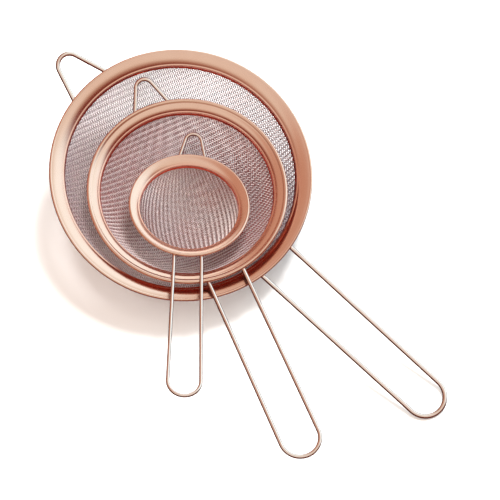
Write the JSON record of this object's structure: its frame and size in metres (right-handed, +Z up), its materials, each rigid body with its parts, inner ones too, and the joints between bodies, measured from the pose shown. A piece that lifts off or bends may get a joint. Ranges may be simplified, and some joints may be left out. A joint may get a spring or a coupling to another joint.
{
  "type": "nested strainer set",
  "caption": "Nested set of round fine-mesh strainers with broad dished rims, long wire loop handles and small wire rest ears, each lying in the next larger one.",
  "frame": {"origin": "where the large bowl rests on the table, in the middle of its small flat patch", "axes": "+Z up from the table; +X along the large handle, as seen from above"},
  "size_m": [0.3861, 0.2388, 0.0867],
  "materials": {
    "rose_gold": "polished rose-gold plating over stainless steel",
    "wire_cloth": "fine woven stainless steel wire cloth with a faint pink tint",
    "weld": "plated weld bead, a little dull"
  },
  "bodies": {
    "large_strainer": {"large_rim": "rose_gold", "large_mesh_bowl": "wire_cloth", "large_clamp_ring": "rose_gold", "large_handle_wire": "rose_gold", "large_handle_weld_left": "weld", "large_handle_weld_right": "weld", "large_ear_wire": "rose_gold", "large_ear_weld_left": "weld", "large_ear_weld_right": "weld"},
    "medium_strainer": {"medium_rim": "rose_gold", "medium_mesh_bowl": "wire_cloth", "medium_clamp_ring": "rose_gold", "medium_handle_wire": "rose_gold", "medium_handle_weld_left": "weld", "medium_handle_weld_right": "weld", "medium_ear_wire": "rose_gold", "medium_ear_weld_left": "weld", "medium_ear_weld_right": "weld"},
    "small_strainer": {"small_rim": "rose_gold", "small_mesh_bowl": "wire_cloth", "small_clamp_ring": "rose_gold", "small_handle_wire": "rose_gold", "small_handle_weld_left": "weld", "small_handle_weld_right": "weld", "small_ear_wire": "rose_gold", "small_ear_weld_left": "weld", "small_ear_weld_right": "weld"}
  },
  "joints": [
    {"name": "medium_lift", "type": "slide", "parent": "large_strainer", "child": "medium_strainer", "axis": [0, 0, 1], "range_m": [0, 0.12]},
    {"name": "small_lift", "type": "slide", "parent": "medium_strainer", "child": "small_strainer", "axis": [0, 0, 1], "range_m": [0, 0.1]}
  ]
}
